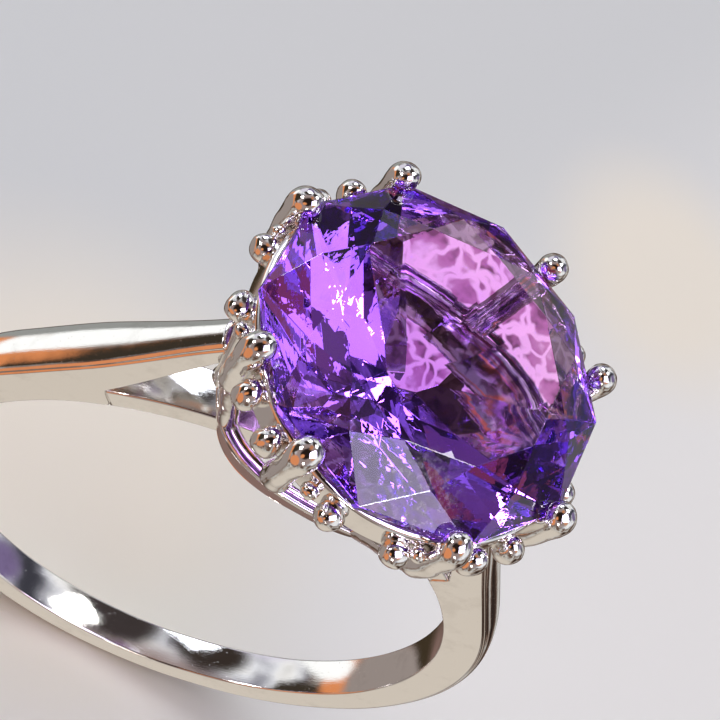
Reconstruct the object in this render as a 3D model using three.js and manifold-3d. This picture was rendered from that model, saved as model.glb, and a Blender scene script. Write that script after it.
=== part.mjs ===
// Cocktail ring: one large ten-sided stone in a beaded claw head on a cathedral shank.
// Millimetres. The origin is the centre of the finger hole, +Y runs along the finger,
// +Z points from the finger to the stone, and the hoop lies in the XZ plane.
import * as THREE from 'three';
import { mergeVertices } from 'three/addons/utils/BufferGeometryUtils.js';
import Module from 'manifold-3d';

const wasm = await Module();
wasm.setup();

// ---------------------------------------------------------------- sizes

const SOLDER_GAP = 0.025; // hairline kept at every soldered or set joint

// Hoop and shoulders
const FINGER_RADIUS = 8.8;
const BAND_SIDE = 1.15; // flat side of the band beside the finger, up to the edge of the dome
const BAND_LIFT = 0.2; // the outside circle sits this much higher than the finger hole
const BAND_DOME = 0.32; // rise of the domed outside above its edges
const BACK_WIDTH = 1.35; // width of the band under the finger
const SHOULDER_WIDTH = 1.65; // widest place, beside the window of each shoulder
const SHOULDER_ALONG = 1 / 3; // widest place, as a share of the straight arm
const SWELL_ALONG = 1 / 3; // where the band starts to widen, as a share of the half circle
const ARM_END_WIDTH = 1.1;
const ARM_END_SIDE = 0.4; // side of the arm where it meets the head
const ARM_END_LIFT = 0.32; // upper edge of the arm's end above the gallery
const ARM_NESTLE = 0.5; // how far the arm runs on between the bead posts
const BRIDGE_DEPTH = 0.7; // inner arc that closes the hoop under the head
const BRIDGE_ANGLE = 38.5; // half the angle that the bridge spans, in degrees
const BRIDGE_WAIST = 1.3; // width of the bridge under the stone

// Stone
const STONE_SIDES = 10;
const STONE_RADIUS = 5.0; // to the corners of the girdle
const STONE_TURN = 10; // direction of the first corner, in degrees
const GIRDLE = 0.2;
const CROWN_HEIGHT = 0.85; // above the girdle's top edge
const TABLE_RADIUS = 3.25;
const STAR_RADIUS = 4.0; // where the star, kite and break facets meet
const PAVILION_DEPTH = 4.2;
const BREAK_RADIUS = 2.3; // where the pavilion's kites and breaks meet

// Head
const HEAD_RISE = 6.8; // girdle above the inside of the hoop
const RAIL_WIDTH = 0.5;
const RAIL_UNDERCUT = 0.13; // the corners overhang the rail's outside by this much
const RAIL_TOP = 0.28; // below the girdle plane
const RAIL_BOTTOM = 1.3;
const RAIL_ROUND = 0.16; // rounding of the rail's edges
const GALLERY_DROP = 4.4; // top of the base gallery below the girdle plane
const GALLERY_LONG = 4.05; // half length along X at the top
const GALLERY_SHORT = 3.2; // half width along Y at the top
const GALLERY_SQUARENESS = 2.6; // exponent of the rounded oblong
const GALLERY_WALL = 0.5;
const GALLERY_FLARE = 0.44; // widening for each millimetre of height

// Claws
// Each pair of claws as it was bent: direction of its middle and of a claw from it, in degrees
const CLAW_PAIRS = [
  { middle: 43, spread: 19 },
  { middle: 138, spread: 19 },
  { middle: 225.6, spread: 16 },
  { middle: 312, spread: 19.5 },
];
const CLAW_LEG = 0.33;
const CLAW_FOOT = 0.29;
const CLAW_KNUCKLE = 0.42;
const CLAW_TIP = 0.43;
const CLAW_OUTSIDE = 0.27; // leg axis outside the rail
const CLAW_REACH = 0.01; // tip centre inside the leg axis
const CLAW_RISE = 0.2; // tip centre above the girdle plane
const CLAW_NOSE = 0.17; // end of the tip above the tip's centre
const KNUCKLE_DROP = 0.28; // knuckle below the rail
const KNUCKLE_TUCK = 0.23; // knuckle inside the leg's axis
const KNUCKLE_SHARPNESS = 3; // how quickly the knuckle thins to the leg

// Posts between the gallery and the rail, a pair at each shoulder
const POST = 0.27;

// Beads
const GAP_BEAD = 0.42;
const GAP_BEAD_SPREAD = 11;
const GAP_BEAD_DROP = 0.95;
const PAIR_BEAD = 0.4;
const PAIR_BEAD_SPREAD = 6.9;
const PAIR_BEAD_STRETCH = 1.25; // taller than wide
const PAIR_BEAD_DROP = 0.8;
const PAIR_BEAD_OUTSIDE = 0.26; // centres outside the rail
const GRANULE = 0.25;
const GRANULE_DROP = 0.7;
const BEAD_OUTSIDE = 0.18; // centres of the other beads and granules outside the rail

// Fineness of the round surfaces
const RAIL_SIDES = 60;
const ROUND_STEPS = 2; // for each rounded edge of the rail
const GALLERY_SIDES = 64;
const SADDLE_SIDES = 160;
const CLAW_SIDES = 12;
const CLAW_ROWS = 22;
const BEAD_SIDES = 14;
const BEAD_ROWS = 9;
const BAND_STEPS = 80;
const DOME_STEPS = 6;
const HOOP_STEPS = 64;
const BRIDGE_STEPS = 30;

// ---------------------------------------------------------------- worked out from them

const rad = THREE.MathUtils.degToRad;
const headZ = FINGER_RADIUS + HEAD_RISE;
const sideRadius = FINGER_RADIUS + BAND_SIDE;
const bridgeRadius = FINGER_RADIUS + BRIDGE_DEPTH;
const railOuter = STONE_RADIUS - RAIL_UNDERCUT;
const railInner = railOuter - RAIL_WIDTH;
const galleryTop = headZ - GALLERY_DROP;
const clawAxis = railOuter + CLAW_OUTSIDE;
const beadAxis = railOuter + BEAD_OUTSIDE;
const pairBeadAxis = railOuter + PAIR_BEAD_OUTSIDE;
const clawDirections = CLAW_PAIRS.flatMap(({ middle, spread }) => [middle - spread, middle + spread]);
const QUARTER_TURNS = [0, 90, 180, 270];

// ---------------------------------------------------------------- materials

const silver = new THREE.MeshStandardMaterial({ color: 0xd9d6d2, roughness: 0.12, metalness: 1 });
const amethyst = new THREE.MeshStandardMaterial({
  color: 0x7a3fc4,
  roughness: 0.02,
  metalness: 0,
  transparent: true,
  opacity: 0.85,
});

// ---------------------------------------------------------------- solids and meshes

function solid(geometry) {
  const bare = geometry.clone();
  bare.deleteAttribute('normal');
  bare.deleteAttribute('uv');
  const merged = mergeVertices(bare);
  return new wasm.Manifold(
    new wasm.Mesh({
      numProp: 3,
      vertProperties: new Float32Array(merged.attributes.position.array),
      triVerts: new Uint32Array(merged.index.array),
    }),
  );
}

function surface(body) {
  const mesh = body.getMesh();
  const geometry = new THREE.BufferGeometry();
  geometry.setAttribute('position', new THREE.BufferAttribute(mesh.vertProperties, 3));
  geometry.setIndex(new THREE.BufferAttribute(mesh.triVerts, 1));
  geometry.computeVertexNormals();
  return geometry;
}

// Moves every vertex of a geometry to where `place` puts it.
function reshape(geometry, place) {
  const position = geometry.attributes.position;
  const point = new THREE.Vector3();
  for (let i = 0; i < position.count; i += 1) {
    point.fromBufferAttribute(position, i);
    position.setXYZ(i, ...place(point).toArray());
  }
  return geometry;
}

function addPart(group, name, geometry, material) {
  const mesh = new THREE.Mesh(geometry, material);
  mesh.name = name;
  group.add(mesh);
  return mesh;
}

// A point of the head: distance from the stone's axis, direction, height over the girdle.
function headPoint(radius, degrees, height) {
  const angle = rad(degrees);
  return new THREE.Vector3(radius * Math.cos(angle), radius * Math.sin(angle), headZ + height);
}

// ---------------------------------------------------------------- stone

// Height on a kite facet that runs from the girdle corner up or down to the inner corner.
function kiteHeight(innerRadius, rise, radius) {
  const along = radius * Math.cos(Math.PI / STONE_SIDES);
  return (rise * (STONE_RADIUS - along)) / (STONE_RADIUS - innerRadius);
}

function stoneGeometry() {
  const step = 360 / STONE_SIDES;
  const points = [];
  const faces = [];
  const vertex = (radius, turn, height) => {
    points.push(headPoint(radius, turn, height).toArray());
    return points.length - 1;
  };
  const ring = (radius, turn, height) =>
    Array.from({ length: STONE_SIDES }, (_, k) => vertex(radius, turn + k * step, height));

  const half = GIRDLE / 2;
  const starHeight = half + kiteHeight(TABLE_RADIUS, CROWN_HEIGHT, STAR_RADIUS);
  const breakHeight = -half - kiteHeight(0, PAVILION_DEPTH, BREAK_RADIUS);
  const table = ring(TABLE_RADIUS, STONE_TURN, half + CROWN_HEIGHT);
  const stars = ring(STAR_RADIUS, STONE_TURN + step / 2, starHeight);
  const upper = ring(STONE_RADIUS, STONE_TURN, half);
  const lower = ring(STONE_RADIUS, STONE_TURN, -half);
  const breaks = ring(BREAK_RADIUS, STONE_TURN + step / 2, breakHeight);
  const tableCentre = vertex(0, 0, half + CROWN_HEIGHT);
  const culet = vertex(0, 0, -half - PAVILION_DEPTH);

  for (let k = 0; k < STONE_SIDES; k += 1) {
    const next = (k + 1) % STONE_SIDES;
    const before = (k + STONE_SIDES - 1) % STONE_SIDES;
    faces.push([tableCentre, table[k], table[next]]);
    faces.push([table[k], stars[k], table[next]]);
    faces.push([table[k], stars[before], upper[k]]);
    faces.push([table[k], upper[k], stars[k]]);
    faces.push([stars[k], upper[k], upper[next]]);
    faces.push([upper[k], lower[k], lower[next]]);
    faces.push([upper[k], lower[next], upper[next]]);
    faces.push([breaks[k], lower[next], lower[k]]);
    faces.push([culet, lower[k], breaks[before]]);
    faces.push([culet, breaks[k], lower[k]]);
  }
  const geometry = new THREE.BufferGeometry();
  geometry.setAttribute('position', new THREE.Float32BufferAttribute(points.flat(), 3));
  geometry.setIndex(faces.flat());
  return geometry;
}

// The stone swollen by the solder gap, for cutting its seat.
function stoneRoom() {
  const swell = (STONE_RADIUS + SOLDER_GAP) / STONE_RADIUS;
  const room = stoneGeometry();
  room.translate(0, 0, -headZ);
  room.scale(swell, swell, swell + SOLDER_GAP);
  room.translate(0, 0, headZ);
  return solid(room);
}

// ---------------------------------------------------------------- rail and gallery

// A round-edged rectangle turned about the stone's axis, grown by `room` on every side.
function railRing(room) {
  const profile = new THREE.Path();
  const left = railInner - room;
  const right = railOuter + room;
  const top = -RAIL_TOP + room;
  const bottom = -RAIL_BOTTOM - room;
  const round = RAIL_ROUND;
  profile.moveTo(left, bottom + round);
  profile.absarc(left + round, bottom + round, round, Math.PI, 1.5 * Math.PI, false);
  profile.absarc(right - round, bottom + round, round, 1.5 * Math.PI, 2 * Math.PI, false);
  profile.absarc(right - round, top - round, round, 0, 0.5 * Math.PI, false);
  profile.absarc(left + round, top - round, round, 0.5 * Math.PI, Math.PI, false);
  const points = profile.getPoints(ROUND_STEPS);
  points.push(points[0].clone());
  const ring = new THREE.LatheGeometry(points, RAIL_SIDES);
  ring.rotateX(Math.PI / 2);
  ring.translate(0, 0, headZ);
  return ring;
}

// A rounded oblong (a superellipse) with the given half length and half width.
function oblong(halfLong, halfShort) {
  return Array.from({ length: GALLERY_SIDES }, (_, k) => {
    const angle = (2 * Math.PI * k) / GALLERY_SIDES;
    const bend = (value) => Math.sign(value) * Math.abs(value) ** (2 / GALLERY_SQUARENESS);
    return new THREE.Vector2(halfLong * bend(Math.cos(angle)), halfShort * bend(Math.sin(angle)));
  });
}

// The flared wall of the gallery, thickened by `room`, from the bridge up to its top edge.
function galleryWall(room) {
  const outline = new THREE.Shape(oblong(GALLERY_LONG + room, GALLERY_SHORT + room));
  const inside = GALLERY_WALL + room;
  outline.holes.push(new THREE.Path(oblong(GALLERY_LONG - inside, GALLERY_SHORT - inside)));
  const height = galleryTop - FINGER_RADIUS + BRIDGE_DEPTH;
  const wall = new THREE.ExtrudeGeometry(outline, { depth: height, bevelEnabled: false });
  wall.translate(0, 0, galleryTop - height);
  reshape(wall, (point) => {
    const below = (galleryTop - point.z) * GALLERY_FLARE;
    point.x *= 1 - below / GALLERY_LONG;
    point.y *= 1 - below / GALLERY_SHORT;
    return point;
  });
  wall.translate(0, 0, room);
  return solid(wall);
}

// Everything under the gallery's top edge, for cutting the claws' feet flat.
function belowGallery() {
  const wide = 4 * STONE_RADIUS;
  const block = new THREE.BoxGeometry(wide, wide, headZ);
  block.translate(0, 0, galleryTop + SOLDER_GAP - headZ / 2);
  return solid(block);
}

// A round bar along the finger, for the saddle cut under the gallery.
function fingerBar(radius) {
  const bar = new THREE.CylinderGeometry(radius, radius, 4 * GALLERY_SHORT, SADDLE_SIDES);
  return solid(bar);
}

// ---------------------------------------------------------------- claws, beads and posts

// Degrees to turn from one direction to another, the short way round.
function turnTo(from, to) {
  return THREE.MathUtils.euclideanModulo(to - from + 180, 360) - 180;
}

function nearestClaw(degrees) {
  const away = (direction) => Math.abs(turnTo(degrees, direction));
  return clawDirections.reduce((best, each) => (away(each) < away(best) ? each : best));
}

// Distance from the stone's axis to the middle of the gallery's wall, in one direction.
function galleryRadius(degrees) {
  const angle = rad(degrees);
  const along = Math.abs(Math.cos(angle)) / (GALLERY_LONG - GALLERY_WALL / 2);
  const across = Math.abs(Math.sin(angle)) / (GALLERY_SHORT - GALLERY_WALL / 2);
  const power = GALLERY_SQUARENESS;
  return (along ** power + across ** power) ** (-1 / power);
}

// The line of a claw in its own upright plane, from its foot on the gallery to its tip.
function clawLine(degrees) {
  const tipRadius = clawAxis - CLAW_REACH;
  return new THREE.SplineCurve([
    new THREE.Vector2(galleryRadius(degrees), -GALLERY_DROP + SOLDER_GAP),
    new THREE.Vector2(clawAxis - KNUCKLE_TUCK, -RAIL_BOTTOM - KNUCKLE_DROP),
    new THREE.Vector2(clawAxis, -RAIL_TOP - CLAW_LEG),
    new THREE.Vector2(tipRadius, CLAW_RISE),
    new THREE.Vector2(tipRadius - CLAW_TIP, CLAW_RISE + CLAW_NOSE),
  ]);
}

// Radius of the claw at a height, with its knuckle under the rail.
function clawRadius(height) {
  const knuckleHeight = -RAIL_BOTTOM - KNUCKLE_DROP;
  const up = THREE.MathUtils.smoothstep(height, -GALLERY_DROP, -RAIL_BOTTOM);
  const leg = THREE.MathUtils.lerp(CLAW_FOOT, CLAW_LEG, up);
  const off = (height - knuckleHeight) / CLAW_KNUCKLE;
  return leg + (CLAW_KNUCKLE - leg) * Math.exp(-KNUCKLE_SHARPNESS * off * off);
}

function clawGeometry(degrees, room = 0) {
  const line = clawLine(degrees);
  const length = line.getLength();
  const tipStart = 1 - (2 * CLAW_TIP) / length;
  const profile = [new THREE.Vector2(0, 0)];
  for (let k = 0; k <= CLAW_ROWS; k += 1) {
    const share = k / CLAW_ROWS;
    const fromCentre = ((share - tipStart) * length) / CLAW_TIP - 1;
    const ball = CLAW_TIP * Math.sqrt(Math.max(0, 1 - fromCentre * fromCentre));
    const leg = share < tipStart + CLAW_TIP / length ? clawRadius(line.getPointAt(share).y) : 0;
    profile.push(new THREE.Vector2(Math.max(ball, leg) + room, share * length));
  }
  profile[profile.length - 1].x = 0;
  const claw = new THREE.LatheGeometry(profile, CLAW_SIDES);
  const out = headPoint(1, degrees, -headZ);
  const aside = new THREE.Vector3(-out.y, out.x, 0);
  return reshape(claw, (point) => {
    const share = THREE.MathUtils.clamp(point.y / length, 0, 1);
    const centre = line.getPointAt(share);
    const along = line.getTangentAt(share);
    const radius = centre.x + point.x * along.y;
    const place = out.clone().multiplyScalar(radius);
    place.addScaledVector(aside, -point.z);
    place.z = headZ + centre.y - point.x * along.x;
    return place;
  });
}

function ball(centre, radius, stretch = 1) {
  const bead = new THREE.SphereGeometry(radius, BEAD_SIDES, BEAD_ROWS);
  bead.rotateX(Math.PI / 2);
  bead.scale(1, 1, stretch);
  bead.translate(...centre.toArray());
  return bead;
}

// A straight post from the gallery up to the rail, beside the end of a shoulder's arm.
function postGeometry(side, across) {
  const railMiddle = railInner + RAIL_WIDTH / 2;
  const footX = side * (GALLERY_LONG - GALLERY_WALL / 2);
  const foot = new THREE.Vector3(footX, across, galleryTop + SOLDER_GAP);
  const topX = side * Math.sqrt(railMiddle ** 2 - across ** 2);
  const top = new THREE.Vector3(topX, across, headZ - RAIL_BOTTOM - SOLDER_GAP);
  const lean = top.clone().sub(foot);
  const post = new THREE.CylinderGeometry(POST, POST, lean.length() + 2 * POST, CLAW_SIDES);
  post.translate(0, lean.length() / 2, 0);
  const upright = new THREE.Vector3(0, 1, 0);
  post.applyQuaternion(new THREE.Quaternion().setFromUnitVectors(upright, lean.normalize()));
  post.translate(...foot.toArray());
  return post;
}

// ---------------------------------------------------------------- shank and bridge

const bandCentre = new THREE.Vector2(0, BAND_LIFT);

// The arm's outer edge touches the hoop's outer circle and ends over the gallery.
function armLine() {
  const end = new THREE.Vector2(GALLERY_LONG + ARM_END_SIDE, galleryTop + ARM_END_LIFT);
  const fromCentre = end.clone().sub(bandCentre);
  const fromTop = Math.atan2(fromCentre.x, fromCentre.y);
  const touch = fromTop + Math.acos(sideRadius / fromCentre.length());
  const start = new THREE.Vector2(Math.sin(touch), Math.cos(touch)).multiplyScalar(sideRadius);
  start.add(bandCentre);
  const direction = end.clone().sub(start).normalize();
  const normal = new THREE.Vector2(direction.y, -direction.x);
  const length = end.distanceTo(start) + ARM_NESTLE;
  return { start, direction, normal, length, touch };
}

const arm = armLine();
const arcLength = sideRadius * (Math.PI - arm.touch);
const halfLength = arcLength + arm.length;

// Edge point and outward direction of the band, `run` millimetres from its back.
function bandEdge(run) {
  const reach = Math.abs(run);
  const side = Math.sign(run) || 1;
  const angle = Math.PI - Math.min(reach, arcLength) / sideRadius;
  const normal = new THREE.Vector2(side * Math.sin(angle), Math.cos(angle));
  const edge = normal.clone().multiplyScalar(sideRadius).add(bandCentre);
  const beyond = Math.max(0, reach - arcLength);
  edge.x += side * arm.direction.x * beyond;
  edge.y += arm.direction.y * beyond;
  return { edge, normal };
}

// Width of the band: slender at the back, widest at the shoulder, slim at the head.
function bandWidth(run) {
  const reach = Math.abs(run);
  const shoulder = arcLength + arm.length * SHOULDER_ALONG;
  const swell = THREE.MathUtils.smoothstep(reach, arcLength * SWELL_ALONG, shoulder);
  const slim = THREE.MathUtils.smoothstep(reach, shoulder, halfLength);
  const wide = THREE.MathUtils.lerp(BACK_WIDTH, SHOULDER_WIDTH, swell);
  return THREE.MathUtils.lerp(wide, ARM_END_WIDTH, slim);
}

// A domed bar swept along the band's edge, deep enough to hold the whole side profile.
function domedSweep() {
  const section = new THREE.Shape();
  section.moveTo(-0.5, -1);
  section.lineTo(0.5, -1);
  section.lineTo(0.5, 0);
  section.absellipse(0, 0, 0.5, 1, 0, Math.PI, false);
  const sweep = new THREE.ExtrudeGeometry(section, {
    depth: 2 * halfLength,
    steps: BAND_STEPS,
    curveSegments: DOME_STEPS,
    bevelEnabled: false,
  });
  return reshape(sweep, (point) => {
    const run = point.z - halfLength;
    const { edge, normal } = bandEdge(run);
    const depth = point.y > 0 ? point.y * BAND_DOME : point.y * 2 * BAND_SIDE;
    const across = -point.x * bandWidth(run);
    return new THREE.Vector3(edge.x + normal.x * depth, across, edge.y + normal.y * depth);
  });
}

// Side view of hoop and arms: finger hole, window edges and a generous outside.
function sideProfile() {
  const outline = new THREE.Shape();
  const reach = arm.start.clone().addScaledVector(arm.direction, arm.length);
  const armUnder = reach.clone().addScaledVector(arm.normal, -ARM_END_SIDE);
  const corner = Math.PI / 2 - rad(BRIDGE_ANGLE);
  const margin = 2 * BAND_DOME;
  const overEnd = reach.clone().addScaledVector(arm.normal, margin);
  const overStart = arm.start.clone().addScaledVector(arm.normal, margin);
  const startAngle = Math.PI / 2 - arm.touch;
  outline.moveTo(bridgeRadius * Math.cos(corner), bridgeRadius * Math.sin(corner));
  outline.lineTo(armUnder.x, armUnder.y);
  outline.lineTo(overEnd.x, overEnd.y);
  outline.lineTo(overStart.x, overStart.y);
  outline.absarc(0, BAND_LIFT, sideRadius + margin, startAngle, Math.PI - startAngle, true);
  outline.lineTo(-overEnd.x, overEnd.y);
  outline.lineTo(-armUnder.x, armUnder.y);
  outline.lineTo(-bridgeRadius * Math.cos(corner), bridgeRadius * Math.sin(corner));
  outline.absarc(0, 0, FINGER_RADIUS, Math.PI - corner, corner, false);
  const plate = new THREE.ExtrudeGeometry(outline, {
    depth: 2 * SHOULDER_WIDTH,
    curveSegments: HOOP_STEPS,
    bevelEnabled: false,
  });
  plate.rotateX(Math.PI / 2);
  plate.translate(0, SHOULDER_WIDTH, 0);
  return plate;
}

// The arc under the head, slimmer in the middle than where it joins the shoulders.
function bridgeGeometry() {
  const section = new THREE.Shape();
  section.moveTo(-0.5, 0);
  section.lineTo(0.5, 0);
  section.lineTo(0.5, BRIDGE_DEPTH);
  section.lineTo(-0.5, BRIDGE_DEPTH);
  const half = rad(BRIDGE_ANGLE) - SOLDER_GAP / FINGER_RADIUS;
  const arc = new THREE.ExtrudeGeometry(section, {
    depth: 2 * half,
    steps: BRIDGE_STEPS,
    bevelEnabled: false,
  });
  const endWidth = bandWidth(arcLength + sideRadius * (arm.touch - rad(BRIDGE_ANGLE)));
  return reshape(arc, (point) => {
    const angle = point.z - half;
    const slim = Math.cos((angle / half) * (Math.PI / 2)) ** 2;
    const across = point.x * THREE.MathUtils.lerp(endWidth, BRIDGE_WAIST, slim);
    const radius = FINGER_RADIUS + point.y;
    return new THREE.Vector3(radius * Math.sin(angle), across, radius * Math.cos(angle));
  });
}

// ---------------------------------------------------------------- assembly

const ring = new THREE.Group();

const stone = stoneGeometry();
const seat = stoneRoom();
const railRoom = solid(railRing(SOLDER_GAP));
const galleryRoom = galleryWall(SOLDER_GAP);
const saddle = fingerBar(bridgeRadius + SOLDER_GAP);

addPart(ring, 'gemstone', stone, amethyst);
addPart(ring, 'seat_rail', surface(solid(railRing(0)).subtract(seat)), silver);
addPart(ring, 'base_gallery', surface(galleryWall(0).subtract(saddle)), silver);

const shank = solid(domedSweep()).intersect(solid(sideProfile())).subtract(galleryRoom);
addPart(ring, 'shank', surface(shank), silver);
addPart(ring, 'bridge', bridgeGeometry(), silver);

const neighbours = seat.add(railRoom).add(galleryRoom);
const underFeet = belowGallery();
let beadRoom = neighbours;

let count = 0;
for (const { middle, spread } of CLAW_PAIRS) {
  for (const side of [-1, 1]) {
    count += 1;
    const claw = solid(clawGeometry(middle + side * spread))
      .subtract(neighbours)
      .subtract(underFeet);
    addPart(ring, `claw_${count}`, surface(claw), silver);

    const direction = middle + side * PAIR_BEAD_SPREAD;
    const centre = headPoint(pairBeadAxis, direction, -PAIR_BEAD_DROP);
    const bead = solid(ball(centre, PAIR_BEAD, PAIR_BEAD_STRETCH)).subtract(neighbours);
    addPart(ring, `pair_bead_${count}`, surface(bead), silver);
  }
}

count = 0;
for (const middle of QUARTER_TURNS) {
  for (const side of [-1, 1]) {
    count += 1;
    const direction = middle + side * GAP_BEAD_SPREAD;
    const centre = headPoint(beadAxis, direction, -GAP_BEAD_DROP);
    const bead = solid(ball(centre, GAP_BEAD)).subtract(neighbours);
    addPart(ring, `gap_bead_${count}`, surface(bead), silver);
    const roomAround = solid(ball(centre, GAP_BEAD + SOLDER_GAP));
    beadRoom = beadRoom.add(roomAround);

    const claw = nearestClaw(direction);
    const between = direction + turnTo(direction, claw) / 2;
    const granule = solid(ball(headPoint(beadAxis, between, -GRANULE_DROP), GRANULE))
      .subtract(neighbours)
      .subtract(roomAround)
      .subtract(solid(clawGeometry(claw, SOLDER_GAP)));
    addPart(ring, `granule_${count}`, surface(granule), silver);
  }
}

count = 0;
for (const side of [-1, 1]) {
  for (const flank of [-1, 1]) {
    count += 1;
    const across = flank * (ARM_END_WIDTH / 2 + POST + SOLDER_GAP);
    const post = solid(postGeometry(side, across)).subtract(beadRoom);
    addPart(ring, `shoulder_post_${count}`, surface(post), silver);
  }
}

export default ring;
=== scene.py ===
"""Cocktail ring: a ten-sided violet stone in a beaded claw head on a cathedral band.

The scene works in metres, in the part's own frame. The finger hole's centre is the origin,
+Y runs along the finger and +Z points from the finger to the stone. Shapes are worked out in
millimetres and scaled once, when a piece's mesh is made.
"""

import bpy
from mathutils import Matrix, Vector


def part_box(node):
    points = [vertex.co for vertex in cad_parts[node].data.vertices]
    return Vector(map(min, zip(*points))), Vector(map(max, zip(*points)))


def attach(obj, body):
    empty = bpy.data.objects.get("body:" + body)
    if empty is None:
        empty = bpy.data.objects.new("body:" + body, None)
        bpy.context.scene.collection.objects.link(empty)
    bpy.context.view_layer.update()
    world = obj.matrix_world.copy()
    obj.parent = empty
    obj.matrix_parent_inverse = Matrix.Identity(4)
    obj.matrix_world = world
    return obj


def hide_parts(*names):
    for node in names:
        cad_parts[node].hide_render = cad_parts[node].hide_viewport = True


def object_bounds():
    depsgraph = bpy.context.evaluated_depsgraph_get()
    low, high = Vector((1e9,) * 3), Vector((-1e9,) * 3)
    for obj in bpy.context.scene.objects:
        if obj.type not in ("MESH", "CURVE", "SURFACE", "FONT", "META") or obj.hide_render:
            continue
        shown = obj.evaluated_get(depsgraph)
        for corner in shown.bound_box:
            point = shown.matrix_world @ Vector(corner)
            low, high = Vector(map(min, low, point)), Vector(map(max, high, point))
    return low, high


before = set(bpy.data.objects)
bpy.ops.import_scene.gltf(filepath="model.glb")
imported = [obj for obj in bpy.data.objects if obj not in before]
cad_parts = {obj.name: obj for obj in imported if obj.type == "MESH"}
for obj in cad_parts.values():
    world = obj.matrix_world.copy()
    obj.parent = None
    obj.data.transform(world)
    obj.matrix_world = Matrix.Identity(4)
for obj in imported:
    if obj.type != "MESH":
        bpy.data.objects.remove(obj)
CAD_BOX = [list(corner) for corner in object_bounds()]

import logging
import random
from dataclasses import dataclass
from enum import Enum
from math import acos, atan2, copysign, cos, exp, pi, radians, sin, sqrt
from typing import Callable, Sequence

import bmesh
import bpy
import numpy as np
from mathutils import Matrix, Vector, noise

log = logging.getLogger("cocktail_ring")

Material = bpy.types.Material
MM = 0.001
BODY = "root"
GLOSSY_BOUNCES = 10
ALL_BOUNCES = 16
NOISE_SEED = 7
FALLING = (1, 0)
Colour = tuple[float, float, float]
Triple = tuple[float, float, float]
Span = tuple[float, float]
Stops = tuple[tuple[float, Colour], ...]


class Slot(Enum):
    """The record's material slots."""

    STONE = "amethyst"
    SILVER = "polished_silver"
    BEADS = "granulation"


# ---- shader expressions


class Signal:
    """A socket's output, used as a value in a Python expression."""

    def __init__(self, book: "NodeBook", socket: bpy.types.NodeSocket) -> None:
        """Wraps one output socket of a node in book."""
        self.book = book
        self.socket = socket

    def _math(self, operation: str, first: "Value", second: "Value") -> "Signal":
        """Adds one Math node that works on two values."""
        return self.book.node("ShaderNodeMath", {"operation": operation}, {0: first, 1: second})

    def __add__(self, other: "Value") -> "Signal":
        """Self plus other."""
        return self._math("ADD", self, other)

    __radd__ = __add__

    def __sub__(self, other: "Value") -> "Signal":
        """Self minus other."""
        return self._math("SUBTRACT", self, other)

    def __rsub__(self, other: "Value") -> "Signal":
        """Other minus self."""
        return self._math("SUBTRACT", other, self)

    def __mul__(self, other: "Value") -> "Signal":
        """Self times other."""
        return self._math("MULTIPLY", self, other)

    __rmul__ = __mul__

    def __or__(self, other: "Value") -> "Signal":
        """The larger of self and other."""
        return self._math("MAXIMUM", self, other)


Value = Signal | float | int | Sequence[float]


@dataclass(frozen=True)
class Grain:
    """A noise pattern: waves in each unit of length, octaves and roughness."""

    scale: float
    detail: float = 2
    rough: float = 0.5


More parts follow.
